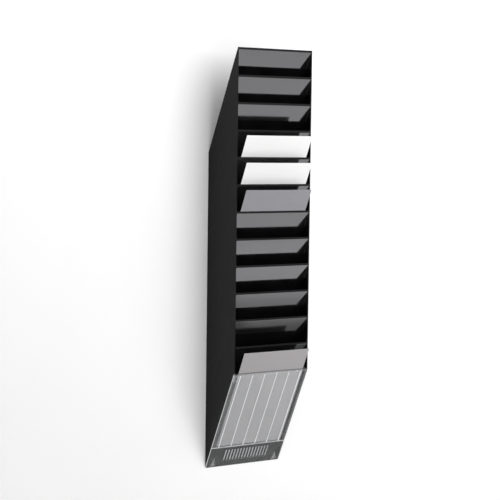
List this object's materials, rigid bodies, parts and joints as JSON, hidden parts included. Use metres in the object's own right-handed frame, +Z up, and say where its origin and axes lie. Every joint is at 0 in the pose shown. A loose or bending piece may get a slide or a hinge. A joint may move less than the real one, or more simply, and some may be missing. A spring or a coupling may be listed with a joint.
{
  "type": "wall chart rack",
  "caption": "Tall wall rack of leaning, stacked pocket trays for A4 charts or leaflets, black plastic with a clear ribbed cover on the lowest pocket.",
  "frame": {"origin": "on the wall plane, in the middle of the back flange of the sixth tray from the top", "axes": "+Z up the wall, +X to the right of someone facing the rack, -Y out from the wall"},
  "size_m": [0.24, 0.1907, 1.1296],
  "materials": {
    "black_plastic": "glossy inside the pockets, fine matt texture on the outer side walls",
    "clear_plastic": "clear, polished, with raised ribs",
    "white_paper": "smooth uncoated",
    "grey_paper": "smooth uncoated",
    "zinc_steel": "zinc plated"
  },
  "bodies": {
    "rack": {"pocket_tray_01": "black_plastic", "pocket_tray_02": "black_plastic", "pocket_tray_03": "black_plastic", "pocket_tray_04": "black_plastic", "pocket_tray_05": "black_plastic", "pocket_tray_06": "black_plastic", "pocket_tray_07": "black_plastic", "pocket_tray_08": "black_plastic", "pocket_tray_09": "black_plastic", "pocket_tray_10": "black_plastic", "pocket_tray_11": "black_plastic", "pocket_tray_12": "black_plastic", "clear_front_cover": "clear_plastic", "wall_screw_01_left": "zinc_steel", "wall_screw_01_right": "zinc_steel", "wall_screw_04_left": "zinc_steel", "wall_screw_04_right": "zinc_steel", "wall_screw_07_left": "zinc_steel", "wall_screw_07_right": "zinc_steel", "wall_screw_10_left": "zinc_steel", "wall_screw_10_right": "zinc_steel"},
    "sheet_04": {"sheet_pocket_04": "white_paper"},
    "sheet_05": {"sheet_pocket_05": "white_paper"},
    "sheet_06": {"sheet_pocket_06": "grey_paper"},
    "sheet_12": {"sheet_pocket_12": "grey_paper"}
  },
  "joints": [
    {"name": "sheet_04_lift", "type": "slide", "parent": "rack", "child": "sheet_04", "axis": [0, -0.442, 0.897], "range_m": [0, 0.235]},
    {"name": "sheet_05_lift", "type": "slide", "parent": "rack", "child": "sheet_05", "axis": [0, -0.442, 0.897], "range_m": [0, 0.235]},
    {"name": "sheet_06_lift", "type": "slide", "parent": "rack", "child": "sheet_06", "axis": [0, -0.442, 0.897], "range_m": [0, 0.235]},
    {"name": "sheet_12_lift", "type": "slide", "parent": "rack", "child": "sheet_12", "axis": [0, -0.442, 0.897], "range_m": [0, 0.235]}
  ]
}
